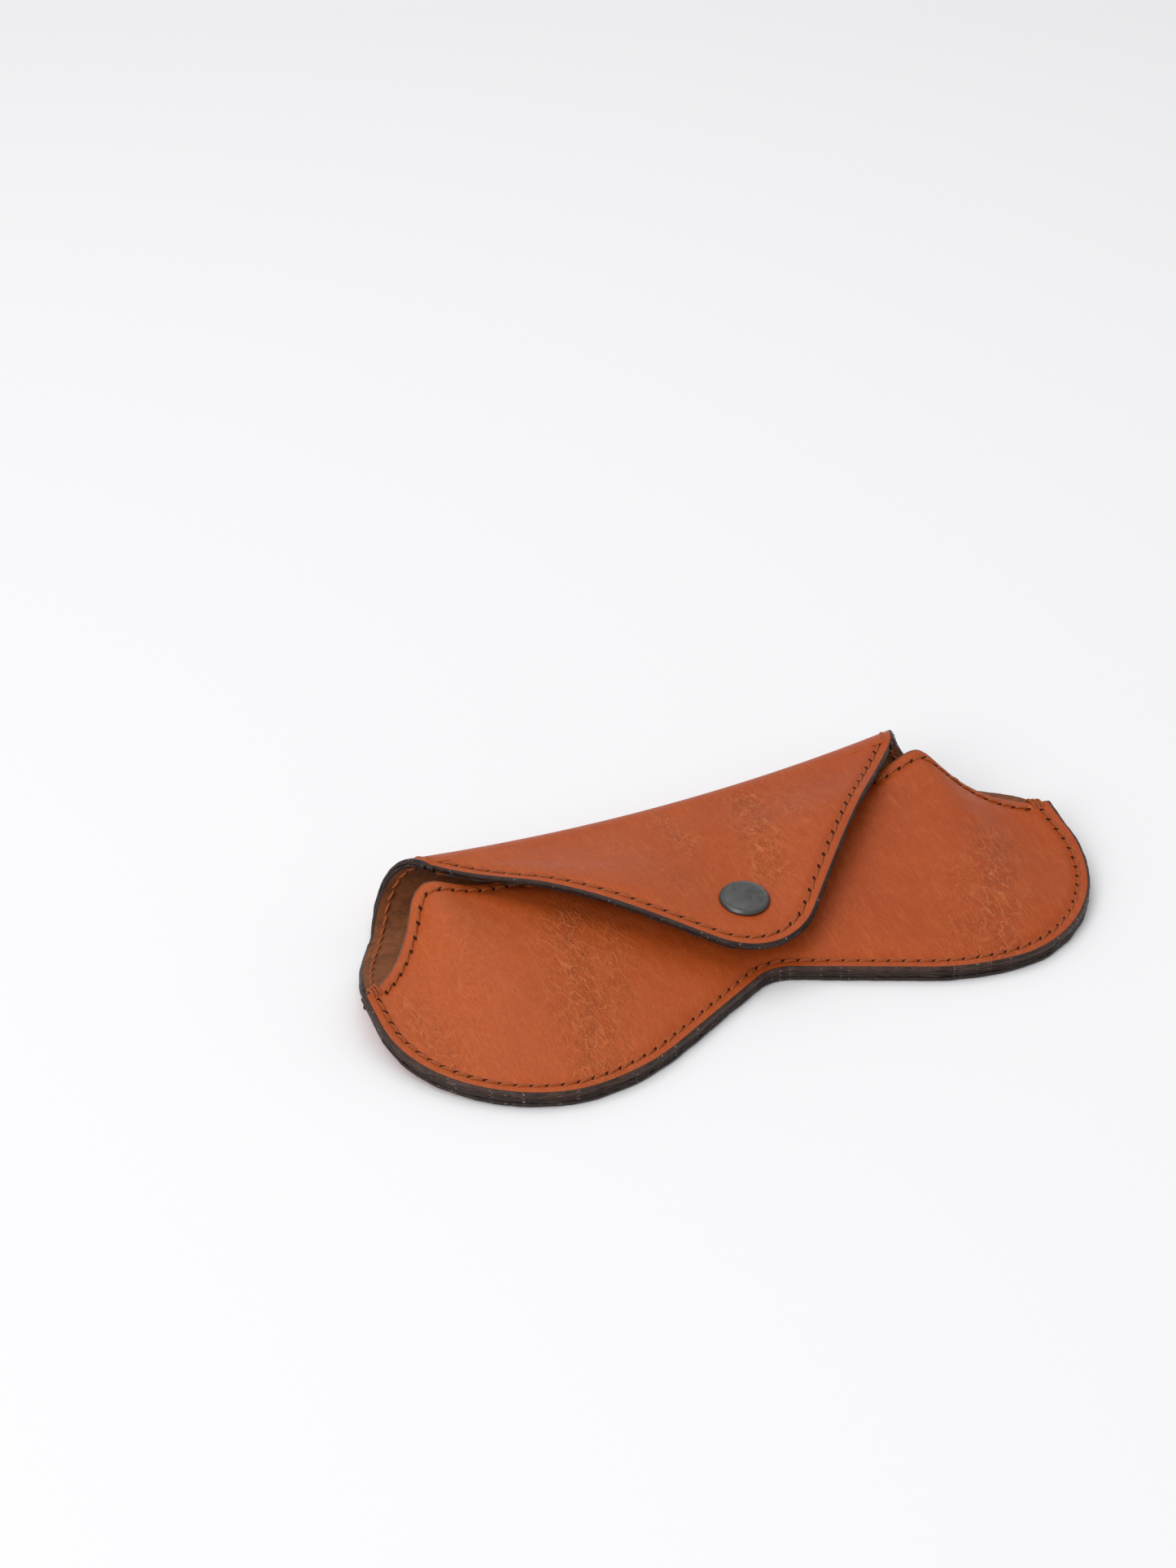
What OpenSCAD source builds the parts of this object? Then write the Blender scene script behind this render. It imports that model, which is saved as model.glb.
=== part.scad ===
// Slip case for eyeglasses: a two-lobed stitched pocket whose back carries on
// over a soft fold into a triangular flap, held shut by one snap fastener.
// Millimetres. +X is the wearer's left to right across the case, +Y runs from
// the lobes to the fold, +Z is up. The case lies closed on its back panel.

/* [Case] */
// Overall width across both lobes
case_w = 145; // [136:1:156]
// Distance from the front of the lobes to the start of the fold
back_len = 59; // [56:1:64]
// Depth of the nose notch between the lobes
notch_depth = 16; // [12:1:18]
// How far the two ends of the pocket curl up off the table
end_curl = 4; // [1:0.5:6]

/* [Leather] */
// Thickness of the outer leather
leather_t = 1.2; // [1:0.1:1.6]
// Thickness of the suede lining
lining_t = 0.8; // [0.6:0.1:1]

/* [Pocket] */
// How high the mouth of the pocket stands open at the middle
mouth_rise = 6; // [4:0.5:7]
// Extra height of the mouth towards its two corners
corner_rise = 2.4; // [0:0.2:3]
// Length of the straight mouth, corner to corner
mouth_w = 105; // [98:1:108]
// Radius of the scoop cut into each end of the mouth
scoop_r = 48; // [36:1:60]

/* [Fold and flap] */
// Outside radius of the fold
fold_r = 8; // [7.5:0.5:9]
// Downward slope of the closed flap, in degrees
flap_slope = 8; // [6:1:10]
// Length of the flap from the fold to its tip
flap_len = 42; // [38:1:44]
// Half width of the case where the fold leaves the back
fold_half_w = 62; // [59:1:64]
// Radius of the rounded flap tip
tip_r = 14; // [11:1:16]

/* [Snap] */
// Diameter of the visible snap cap
cap_d = 9.5; // [8:0.5:12]
// Distance from the flap tip to the middle of the snap
snap_inset = 10.4; // [9:0.2:12]

/* [Stitching] */
// Length of one stitch
stitch_len = 2.8; // [2.5:0.1:4]
// Distance from the cut edge to the stitch line
seam_inset = 2.3; // [2:0.1:3]
// Thickness of the sewing thread
thread_d = 0.6; // [0.4:0.1:0.8]

/* [Hidden] */
$fn = 64;

leather_col = [0.73, 0.35, 0.19];
suede_col = [0.36, 0.22, 0.14];
thread_col = [0.47, 0.23, 0.12];
metal_col = [0.33, 0.34, 0.34];

half_w = case_w / 2;
stack_t = leather_t + lining_t;      // one outer leather with its lining
glue_gap = 0.05;                     // keeps the two halves of the pocket apart
case_depth = back_len + fold_r;

// Lobes: a flatter arc near the nose, a rounder one at the outside
lobe_x = 44;
flat_r = 42;
round_r = half_w - lobe_x;
notch_r = 8;
flank = atan2(notch_depth - notch_r * (1 - cos(26)) - flat_r * (1 - cos(26)),
    lobe_x - (flat_r + notch_r) * sin(26));
corner_y = 35;                       // where the scoop meets the outline
mouth_y = 54.5;
mouth_corner_r = 5;
mouth_corner_x = mouth_w / 2;

// Scoop: an arc that runs out of the mouth's rounded corner and ends on the outline
scoop_reach = scoop_r + mouth_corner_r;
scoop_span = [half_w - mouth_corner_x, corner_y - mouth_y + mouth_corner_r];
scoop_turn = atan2(scoop_span[1], scoop_span[0])
    + acos((pow(scoop_reach, 2) + scoop_span * scoop_span - scoop_r * scoop_r)
        / (2 * scoop_reach * norm(scoop_span)));
scoop_x = mouth_corner_x + scoop_reach * cos(scoop_turn);
scoop_y = mouth_y - mouth_corner_r + scoop_reach * sin(scoop_turn);

// End curl: the middle of the back is flat, each end rises on an arc
curl_x = 52;
curl_r = (pow(half_w - curl_x, 2) + end_curl * end_curl) / (2 * end_curl);

// Fold: the arc is shared by three hinges, each at the middle of its share
joint_bend = (180 + flap_slope) / 3;
strip_gap = 0.4;                     // degrees left open between fold strips
fold_half_top = 49.5;                // half width where the flap begins
snap_y = -flap_len + snap_inset;     // in the flap's own frame

thread_r = thread_d / 2;
knot_r = thread_r * 1.15;
hole_gap = 0.25;                     // part of a stitch hidden in the hole at each end

// ---- plane curves -------------------------------------------------------

function arc_points(cx, cy, r, a0, a1, n) =
    [for (i = [0:n]) let (a = a0 + (a1 - a0) * i / n) [cx + r * cos(a), cy + r * sin(a)]];

// Right half of the pocket outline, from the nose to the scoop corner
function outline_half(inset, end_y) = concat(
    arc_points(0, notch_depth - notch_r, notch_r + inset, 90, 90 - flank, 3),
    arc_points(lobe_x, flat_r, flat_r - inset, 270 - flank, 270, 6),
    arc_points(lobe_x, round_r, round_r - inset, 276, 360, 14),
    [[half_w - inset, end_y]]);

// Right half of the mouth, from the middle to the scoop corner
function mouth_half(inset) = concat(
    [[0, mouth_y - inset]],
    arc_points(mouth_corner_x, mouth_y - mouth_corner_r, mouth_corner_r - inset, 90, scoop_turn, 5),
    arc_points(scoop_x, scoop_y, scoop_r + inset, 181 + scoop_turn, scoop_end(inset), 9));
function scoop_end(inset) = 360 - acos((half_w - inset - scoop_x) / (scoop_r + inset));
function scoop_edge(x) = scoop_y - sqrt(scoop_r * scoop_r - pow(scoop_x - x, 2));

// Side edge of the back between the scoop corner and the fold
function side_edge(inset) = let (p = [half_w - inset, corner_y], q = [fold_half_w - inset * 1.2, back_len])
    [for (i = [0:8]) let (t = i / 8) [p[0] + (q[0] - p[0]) * (0.4 * t + 0.6 * t * t), p[1] + (q[1] - p[1]) * t]];

// Half width of the fold at each turn, from -90 on the back to 90 on the flap
function fold_half(a) = fold_half_w + (fold_half_top - fold_half_w) * (a + 90) / 180;

// Right half of the flap outline in the flap's own frame, from tip to fold
function flap_half(inset) =
    let (r = tip_r - inset, cy = -flap_len + tip_r,
         dx = fold_half_top - inset * 1.4, dy = -cy,
         a = atan2(dy, dx) - acos(r / norm([dx, dy])))
    concat(arc_points(0, cy, r, 270, 360 + a, 8), [[dx, 0]]);

function mirrored(p) = [for (i = [len(p) - 1:-1:0]) if (p[i][0] > 0.001) [-p[i][0], p[i][1]]];
function whole(p) = concat(mirrored(p), p);

// ---- walking along a curve ----------------------------------------------

function run(p, i = 0) = i >= len(p) - 1 ? 0 : norm(p[i + 1] - p[i]) + run(p, i + 1);
function at(p, s, i = 0) = let (d = norm(p[i + 1] - p[i]))
    s <= d || i >= len(p) - 2 ? p[i] + (p[i + 1] - p[i]) * s / d : at(p, s - d, i + 1);
function even(p, n) = let (total = run(p)) [for (i = [0:n]) at(p, total * i / n)];
function stitches(p) = even(p, round(run(p) / stitch_len));

// ---- heights ------------------------------------------------------------

// Height of a layer t above the underside of the curled back
function curl_z(x, t) = let (d = abs(x) - curl_x)
    d <= 0 ? t : curl_r - sqrt(pow(curl_r - t, 2) - d * d);

function outline_y(x) = let (a = abs(x))
    a < notch_r * sin(flank) ? notch_depth - notch_r + sqrt(notch_r * notch_r - a * a) :
    a < lobe_x - flat_r * sin(flank) ?
        notch_depth - notch_r * (1 - cos(flank)) - (a - notch_r * sin(flank)) * tan(flank) :
    a < lobe_x ? flat_r - sqrt(flat_r * flat_r - pow(a - lobe_x, 2)) :
    round_r - sqrt(max(0, round_r * round_r - pow(a - lobe_x, 2)));

// How far the mouth stands open above its sewn height, across the case
function mouth_lift(x) = let (a = abs(x), peak = mouth_w / 2 - 3, full = mouth_rise + corner_rise)
    a < peak ? mouth_rise + corner_rise * pow(a / peak, 2) :
    full * pow(max(0, 1 - (a - peak) / (half_w - peak)), 1.3);

function bulge(x, y) = let (start = outline_y(x) + seam_inset + 0.5,
    t = min(1, max(0, (y - start) / (mouth_y - start)))) mouth_lift(x) * (1 - pow(1 - t, 2));

function front_z(x, y) = curl_z(x, stack_t) + glue_gap + bulge(x, y);

// ---- building blocks ----------------------------------------------------

module in_frame() { translate([0, -case_depth / 2, 0]) children(); }

module in_flap_frame() {
    in_frame() translate([0, back_len, fold_r]) rotate([flap_slope, 0, 0]) children();
}

// A sheet with one layer at the given heights, curled up at both ends
module curled_sheet(low, high, y0, y1) {
    translate([0, y1, 0]) rotate([90, 0, 0]) linear_extrude(y1 - y0) {
        translate([-curl_x, low]) square([2 * curl_x, high - low]);
        for (side = [0, 1]) mirror([side, 0]) translate([curl_x - 0.01, curl_r])
            intersection() {
                difference() {
                    circle(curl_r - low, $fn = 200);
                    circle(curl_r - high, $fn = 200);
                }
                translate([0, -curl_r]) square([curl_r, curl_r]);
            }
    }
}

module ring_sector(outer, inner, a0, a1) {
    difference() {
        intersection() {
            circle(outer, $fn = 128);
            polygon(concat([[0, 0]],
                [for (i = [0:6]) let (a = a0 + (a1 - a0) * i / 6) 2 * outer * [cos(a), sin(a)]]));
        }
        circle(inner, $fn = 128);
    }
}

// Part of the fold, with its ends cut on the slope of the side edge
module fold_strip(outer, inner, a0, a1) {
    in_frame() translate([0, back_len, fold_r]) intersection() {
        rotate([90, 0, 90]) linear_extrude(2 * fold_half_w, center = true) ring_sector(outer, inner, a0, a1);
        rotate([90, 0, 0]) linear_extrude(4 * fold_r, center = true)
            polygon(whole([for (a = [-90:10:90]) [fold_half(a), fold_r * sin(a)]]));
    }
}

// Soft sheet between two height offsets over the pocket's front
module front_sheet(low, high) {
    n = 30;
    m = 8;
    lower = even(outline_half(0, corner_y - 3.8), n);
    upper = even(mouth_half(0), n);
    row = [for (i = [-n:n]) [for (j = [0:m]) let (s = i < 0 ? -1 : 1, k = abs(i),
        p = lower[k] + (upper[k] - lower[k]) * j / m) [s * p[0], p[1]]]];
    w = m + 1;
    count = (2 * n + 1) * w;
    points = [for (h = [low, high], col = row, p = col) [p[0], p[1], front_z(p[0], p[1]) + h]];
    faces = concat(
        [for (i = [0:2 * n - 1], j = [0:m - 1]) each [[i * w + j, i * w + j + 1, (i + 1) * w + j + 1],
            [i * w + j, (i + 1) * w + j + 1, (i + 1) * w + j]]],
        [for (i = [0:2 * n - 1], j = [0:m - 1]) let (o = count) each [
            [o + i * w + j, o + (i + 1) * w + j + 1, o + i * w + j + 1],
            [o + i * w + j, o + (i + 1) * w + j, o + (i + 1) * w + j + 1]]],
        [for (i = [0:2 * n - 1], j = [0, m]) let (a = i * w + j, b = a + w, f = j == 0) each
            (f ? [[a, b, b + count], [a, b + count, a + count]]
               : [[b, a, a + count], [b, a + count, b + count]])],
        [for (i = [0, 2 * n], j = [0:m - 1]) let (a = i * w + j, b = a + 1, f = i == 0) each
            (f ? [[b, a, a + count], [b, a + count, b + count]]
               : [[a, b, b + count], [a, b + count, a + count]])]);
    in_frame() polyhedron(points = points, faces = faces, convexity = 4);
}

module rod(p, q, r) {
    v = q - p;
    translate(p) rotate([0, acos(v[2] / norm(v)), atan2(v[1], v[0])]) cylinder(r = r, h = norm(v), $fn = 16);
}

// One stitch between two holes, with chamfered ends that dip into the holes
module stitch(p, q) {
    v = q - p;
    len = norm(v) - 2 * hole_gap;
    c = thread_r * 0.4;
    translate(p + v * (hole_gap / norm(v))) rotate([0, acos(v[2] / norm(v)), atan2(v[1], v[0])])
        rotate_extrude($fn = 16) polygon([[0, 0], [thread_r - c, 0], [thread_r, c],
            [thread_r, len - c], [thread_r - c, len], [0, len]]);
}

module stitch_row(holes) {
    for (i = [0:len(holes) - 2]) stitch(holes[i], holes[i + 1]);
}

// ---- pocket -------------------------------------------------------------

module back_shape() {
    edge = side_edge(0);
    polygon(whole(concat(outline_half(0, corner_y), edge)));
}

module back_layer(low, high) {
    in_frame() intersection() {
        curled_sheet(low, high, -1, back_len + 1);
        linear_extrude(3 * fold_r) back_shape();
    }
    fold_strip(fold_r - low, fold_r - high, -90, -90 + joint_bend / 2 - strip_gap);
}

module back_panel() { color(leather_col) back_layer(0, leather_t); }
module back_lining() { color(suede_col) back_layer(leather_t, stack_t); }

// Clearance hole for the stud's eyelet through the front of the pocket
module stud_hole() {
    in_flap_frame() translate([0, snap_y, -fold_r]) cylinder(r = eyelet_r + 0.02, h = 2 * fold_r);
}

module front_panel() {
    color(leather_col) difference() {
        front_sheet(lining_t, stack_t);
        stud_hole();
    }
}

module front_lining() {
    color(suede_col) difference() {
        front_sheet(0, lining_t);
        stud_hole();
    }
}

pocket_seam = stitches(whole(outline_half(seam_inset, corner_y - 1.2)));
mouth_seam = stitches(whole(mouth_half(seam_inset)));

module pocket_needle_thread() {
    color(thread_col) in_frame()
        stitch_row([for (p = pocket_seam) [p[0], p[1], front_z(p[0], p[1]) + stack_t]]);
}

module pocket_bobbin_thread() {
    color(thread_col) in_frame()
        stitch_row([for (p = pocket_seam) [p[0], p[1], curl_z(p[0], 0) + knot_r]]);
}

module mouth_needle_thread() {
    inner = [for (i = [1:len(mouth_seam) - 2]) mouth_seam[i]];
    color(thread_col) in_frame()
        stitch_row([for (p = inner) [p[0], p[1], front_z(p[0], p[1]) + stack_t]]);
}

module mouth_bobbin_thread() {
    inner = [for (i = [1:len(mouth_seam) - 2]) mouth_seam[i]];
    color(thread_col) in_frame()
        stitch_row([for (p = inner) [p[0], p[1], front_z(p[0], p[1])]]);
}

// Seam along the free sides of the back, needle and bobbin thread at each side
module side_seam_thread() {
    path = stitches(side_edge(seam_inset));
    run_in = [for (i = [2:len(path) - 2]) path[i]];
    color(thread_col) in_frame() for (side = [0, 1]) mirror([side, 0, 0]) {
        stitch_row([for (p = run_in) [p[0], p[1], curl_z(p[0], 0) + knot_r]]);
        stitch_row([for (p = run_in) [p[0], p[1], curl_z(p[0], stack_t)]]);
    }
}

// Three thread loops over the edge of the scoop at the end of the mouth seam
module bar_tack(side) {
    color(thread_col) in_frame() mirror([side, 0, 0]) for (i = [0:2]) {
        x = half_w - seam_inset - 1.2 + i * 0.8;
        edge = scoop_edge(x) + 1;
        y = edge - 2.6;
        top = front_z(x, y) + stack_t;
        low = curl_z(x, stack_t) + knot_r;
        for (p = [[x, y, top], [x, edge, top], [x, edge, low]]) translate(p) sphere(knot_r, $fn = 16);
        rod([x, y, top], [x, edge, top], thread_r);
        rod([x, edge, low], [x, edge, top], thread_r);
    }
}

module left_bar_tack() { bar_tack(1); }
module right_bar_tack() { bar_tack(0); }

// ---- fold ---------------------------------------------------------------

fold_mid_1 = -90 + joint_bend / 2;
fold_mid_2 = -90 + joint_bend * 3 / 2;
fold_mid_3 = -90 + joint_bend * 5 / 2;

module fold_lower_panel() {
    color(leather_col) fold_strip(fold_r, fold_r - leather_t, fold_mid_1, fold_mid_2 - strip_gap);
}
module fold_lower_lining() {
    color(suede_col) fold_strip(fold_r - leather_t, fold_r - stack_t, fold_mid_1, fold_mid_2 - strip_gap);
}
module fold_upper_panel() {
    color(leather_col) fold_strip(fold_r, fold_r - leather_t, fold_mid_2, fold_mid_3 - strip_gap);
}
module fold_upper_lining() {
    color(suede_col) fold_strip(fold_r - leather_t, fold_r - stack_t, fold_mid_2, fold_mid_3 - strip_gap);
}

// Stitches that follow the sloping side edge round the fold, inside and out
module fold_thread(a0, a1) {
    n = 2;
    function place(a, r) = [fold_half(a) - seam_inset * 1.2, back_len + r * cos(a), fold_r + r * sin(a)];
    color(thread_col) in_frame() for (side = [0, 1]) mirror([side, 0, 0])
        for (r = [fold_r - knot_r, fold_r - stack_t]) {
            holes = [for (i = [0:n]) place(a0 + 4 + (a1 - a0 - 8) * i / n, r)];
            stitch_row(holes);
        }
}
module fold_lower_thread() { fold_thread(fold_mid_1, fold_mid_2); }
module fold_upper_thread() { fold_thread(fold_mid_2, fold_mid_3); }

// ---- flap ---------------------------------------------------------------

// One layer of the flap with its share of the fold, in the flap's own frame
module flap_layer(low, high) {
    start = fold_half(fold_mid_3);
    shape = concat(flap_half(0), [[start, fold_r * cos(fold_mid_3 - flap_slope)], [start, fold_r]]);
    in_flap_frame() difference() {
        intersection() {
            rotate([90, 0, 90]) linear_extrude(2 * fold_half_w, center = true) {
                translate([-flap_len, fold_r - high]) square([flap_len, high - low]);
                ring_sector(fold_r - low, fold_r - high, fold_mid_3 - flap_slope, 90);
            }
            linear_extrude(2 * fold_r) polygon(whole(shape));
        }
        translate([0, snap_y, 0]) cylinder(r = post_r + 0.02, h = 2 * fold_r);
    }
}

module flap_panel() { color(leather_col) flap_layer(0, leather_t); }
module flap_lining() { color(suede_col) flap_layer(leather_t, stack_t); }

flap_seam = stitches(whole(flap_half(seam_inset)));

module flap_needle_thread() {
    color(thread_col) in_flap_frame()
        stitch_row([for (p = flap_seam) [p[0], p[1], fold_r]]);
}

module flap_bobbin_thread() {
    color(thread_col) in_flap_frame()
        stitch_row([for (p = flap_seam) [p[0], p[1], fold_r - stack_t]]);
}

// ---- snap ---------------------------------------------------------------

post_r = 1.5;                        // post of the cap, through the flap
eyelet_r = 1.4;                      // tube of the eyelet, through the front
wall = 0.3;                          // sheet metal of the snap
socket_h = 2.4;
stud_r = 2.1;
socket_bore_r = stud_r + 0.45;
under_flap = fold_r - stack_t;       // height of the flap lining in its frame
front_top = front_top_at_snap();
function front_top_at_snap() = let (y = back_len + snap_y * cos(flap_slope) - 3 * sin(flap_slope),
    z = front_z(0, y) + stack_t) (z - fold_r + (back_len - y) * sin(flap_slope)) / cos(flap_slope);

module on_snap_axis() { in_flap_frame() translate([0, snap_y, 0]) children(); }

module snap_cap() {
    cap_r = cap_d / 2;
    color(metal_col) on_snap_axis() {
        translate([0, 0, fold_r]) rotate_extrude() polygon([[0, 0], [cap_r - 0.35, 0], [cap_r, 0.3],
            [cap_r, 0.75], [cap_r - 0.45, 1.2], [cap_r - 0.8, 1.1], [cap_r * 0.5, 1.2], [0, 1.25]]);
        translate([0, 0, under_flap - 0.5]) difference() {
            cylinder(r = post_r, h = stack_t + 0.6);
            translate([0, 0, -0.1]) cylinder(r = post_r - wall, h = stack_t + 0.3);
        }
        translate([0, 0, under_flap - 0.5]) difference() {
            cylinder(r = post_r + 0.4, h = wall);
            translate([0, 0, -0.1]) cylinder(r = post_r - wall, h = 2 * wall);
        }
    }
}

module snap_socket() {
    socket_r = cap_d / 2 - 0.3;
    color(metal_col) on_snap_axis() translate([0, 0, under_flap]) rotate_extrude() polygon([
        [post_r + 0.02, 0], [socket_r, 0], [socket_r, -wall], [socket_r - 0.6, -0.7],
        [socket_r - 0.9, -socket_h], [socket_bore_r, -socket_h], [socket_bore_r, -1.75],
        [socket_bore_r + 0.75, -1.75], [socket_bore_r + 0.75, -0.95], [socket_bore_r, -0.95],
        [socket_bore_r, -wall + 0.1], [post_r + 0.02, -wall + 0.1]]);
}

// Split ring of round wire that grips under the stud's head
module snap_spring() {
    wire_r = 0.3;
    color("silver") on_snap_axis() translate([0, 0, under_flap - 1.35])
        rotate_extrude(angle = 320) translate([socket_bore_r + 0.2, 0]) circle(wire_r, $fn = 24);
}

module snap_stud() {
    neck_r = stud_r - 0.35;
    color(metal_col) on_snap_axis() translate([0, 0, front_top + 0.05]) rotate_extrude() polygon([
        [eyelet_r + 0.02, 0], [cap_d / 2 - 0.8, 0], [cap_d / 2 - 0.8, wall], [neck_r + 0.4, wall + 0.1],
        [neck_r, 0.8], [neck_r, 1.2], [stud_r, 1.7], [stud_r - 0.1, 2.1], [stud_r - 0.7, 2.35],
        [0, 2.35], [0, 2.05], [eyelet_r + 0.02, 2.05]]);
}

module stud_eyelet() {
    color(metal_col) on_snap_axis() translate([0, 0, front_top - stack_t - 0.45]) {
        difference() {
            cylinder(r = eyelet_r, h = stack_t + 2.2);
            translate([0, 0, -0.1]) cylinder(r = eyelet_r - wall, h = stack_t + 2.5);
        }
        difference() {
            cylinder(r = cap_d / 2 - 0.9, h = wall);
            translate([0, 0, -0.1]) cylinder(r = eyelet_r - wall, h = 2 * wall);
        }
    }
}

back_panel();
back_lining();
front_panel();
front_lining();
pocket_needle_thread();
pocket_bobbin_thread();
mouth_needle_thread();
mouth_bobbin_thread();
side_seam_thread();
left_bar_tack();
right_bar_tack();
snap_stud();
stud_eyelet();
fold_lower_panel();
fold_lower_lining();
fold_lower_thread();
fold_upper_panel();
fold_upper_lining();
fold_upper_thread();
flap_panel();
flap_lining();
flap_needle_thread();
flap_bobbin_thread();
snap_cap();
snap_socket();
snap_spring();
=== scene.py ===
"""Looks of the eyeglasses slip case: soft leather sheets with painted edges, suede
linings, twisted stitches, bar tacks and a worn gunmetal snap, built round the CAD frame.

Shapes are worked out in millimetres in the case's own frame: x across, y from the front
of the lobes to the fold, z up. to_row() turns them into the CAD's frame in metres.
"""
import math

import bpy
import numpy as np
from mathutils import Matrix, Vector


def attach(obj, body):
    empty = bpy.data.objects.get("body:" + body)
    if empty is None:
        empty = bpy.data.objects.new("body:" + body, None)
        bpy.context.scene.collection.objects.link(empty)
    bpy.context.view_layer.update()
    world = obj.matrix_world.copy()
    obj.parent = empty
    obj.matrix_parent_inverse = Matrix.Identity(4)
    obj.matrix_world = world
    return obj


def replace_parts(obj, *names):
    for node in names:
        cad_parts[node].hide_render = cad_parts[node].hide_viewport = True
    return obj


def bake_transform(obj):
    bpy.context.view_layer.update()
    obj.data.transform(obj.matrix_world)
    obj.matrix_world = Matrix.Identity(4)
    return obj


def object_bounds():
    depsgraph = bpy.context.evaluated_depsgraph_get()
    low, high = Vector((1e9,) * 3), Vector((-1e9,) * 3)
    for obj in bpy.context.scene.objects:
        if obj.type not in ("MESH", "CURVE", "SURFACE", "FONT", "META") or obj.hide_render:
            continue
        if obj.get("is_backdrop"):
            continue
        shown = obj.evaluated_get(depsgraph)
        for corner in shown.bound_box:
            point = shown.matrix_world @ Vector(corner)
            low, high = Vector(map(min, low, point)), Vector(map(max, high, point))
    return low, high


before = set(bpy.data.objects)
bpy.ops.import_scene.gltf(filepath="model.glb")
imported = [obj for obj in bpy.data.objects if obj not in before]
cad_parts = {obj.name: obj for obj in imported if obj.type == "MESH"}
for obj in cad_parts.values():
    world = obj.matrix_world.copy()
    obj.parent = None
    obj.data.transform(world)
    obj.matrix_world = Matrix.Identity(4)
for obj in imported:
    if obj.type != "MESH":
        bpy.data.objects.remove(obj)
cad_low, cad_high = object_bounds()
MM = 0.001

# ---- sizes in mm -----------------------------------------------------------------------------
HALF_W = cad_high[0] / MM
FRONT_Y = cad_low[1] / MM
LEATHER, LINING = 1.0, 0.65          # thinner than before sewing: the seams press the leather
STACK = LEATHER + LINING
NOTCH, NOTCH_R = 16.0, 8.0           # depth of the nose notch and radius of its top
FLANK = 26.36                        # slope of the notch's straight flank, degrees
FLAT_R = 42.0                        # flatter arc from the flank to the lobe
LOBE_X = 44.0                        # middle of each lobe
ROUND_R = HALF_W - LOBE_X
TAPER = 1.1                          # 1 is a true arc, more draws the outside of the lobe in
CORNER_Y = 36.0                      # the scoop's corner on the outline
SIDE_RUN = 3.6                       # straight stretch of the outline before that corner
MOUTH_Y, MOUTH_X, MOUTH_R = 54.5, 52.5, 5.0     # the mouth's edge and its rounded corner
SCOOP_R = 48.0
FOLD_Y = 59.0                        # where the back ends and the fold starts
FOLD_BOTTOM, FOLD_TOP = 62.0, 50.3   # half width of the fold at the back and at the flap
FOLD_MID_H, FOLD_END_H = 12.4, 15.3  # height of the fold in the middle and at its ends
FOLD_RUN = 8 * math.pi               # length of hide laid round the fold
FLAP_CROWN = 13.2                    # height the flap would have at the fold if it did not sag there
FLAP_TIP_Y, FLAP_TIP_R = 15.5, 15.0
FLAP_DROP = 3.3                      # how far the flap slopes down to its tip
FLAP_SAG_Y = 42.0                    # where the sag towards the fold starts
FLAP_ARCH = 3.3                      # how far the flap's sides stand above its middle
CORNER_LIFT = 4.9                    # how far the scoop corners stand off the table
LIFT_X, LIFT_Y = 48.0, 5.0           # where that lift starts, across and towards the fold
SWELL, LOBE_SWELL = 5.7, 3.1         # the pocket's bulge in the middle, and more at the lobes
FLARE, FLARE_X, FLARE_R = 4.4, 53.0, 6.0        # the mouth's corners stand open
SNAP_PULL = 0.8                      # the front is drawn up to the flap round the snap
SEAM_INSET = 2.3
PAINT = 0.55                         # how far the painted edge stands out beyond the leather's face
PITCH, FLAP_PITCH = 2.75, 3.1        # stitch lengths on the pocket and on the flap
SNAP_Y = 28.0
BEND = 62.66                         # turn that each strip of the closed fold takes up, degrees


def to_row(p):
    return (np.asarray(p, float) + [0, FRONT_Y, 0]) * MM


def smooth(t):
    t = np.clip(t, 0, 1)
    return t * t * (3 - 2 * t)


def waves(p, size, count=14, seed=1):
    """Soft irregular field over points p, about -1 to 1, with bumps of the given size in mm."""
    rng = np.random.default_rng(seed)
    out = np.zeros(p.shape[:-1])
    for _ in range(count):
        d = rng.normal(size=p.shape[-1])
        d *= 2 * math.pi / (size * rng.uniform(0.7, 1.6)) / np.linalg.norm(d)
        out += np.sin(p @ d + rng.uniform(0, 6.28))
    return out / math.sqrt(count)


# ---- outline curves, right half --------------------------------------------------------------
def arc(cx, cy, r, a0, a1, n=40):
    a = np.radians(np.linspace(a0, a1, n))
    return np.c_[cx + r * np.cos(a), cy + r * np.sin(a)]


def resample(p, n):
    s = np.r_[0, np.cumsum(np.linalg.norm(np.diff(p, axis=0), axis=1))]
    t = np.linspace(0, s[-1], n + 1)
    return np.c_[np.interp(t, s, p[:, 0]), np.interp(t, s, p[:, 1])]


def length(p):
    return np.linalg.norm(np.diff(p, axis=0), axis=1).sum()


def lobe_curve(r):
    a = np.radians(np.linspace(1, 90, 80))
    return np.c_[LOBE_X + r * np.sin(a) ** TAPER, ROUND_R - r * np.clip(np.cos(a), 0, 1) ** TAPER]


def pocket_outline(inset, end_y):
    return np.vstack([
        arc(0, NOTCH - NOTCH_R, NOTCH_R + inset, 90, 90 - FLANK, 12),
        arc(LOBE_X, FLAT_R, FLAT_R - inset, 270 - FLANK, 270),
        lobe_curve(ROUND_R - inset),
        [[HALF_W - inset, end_y]]])


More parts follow.
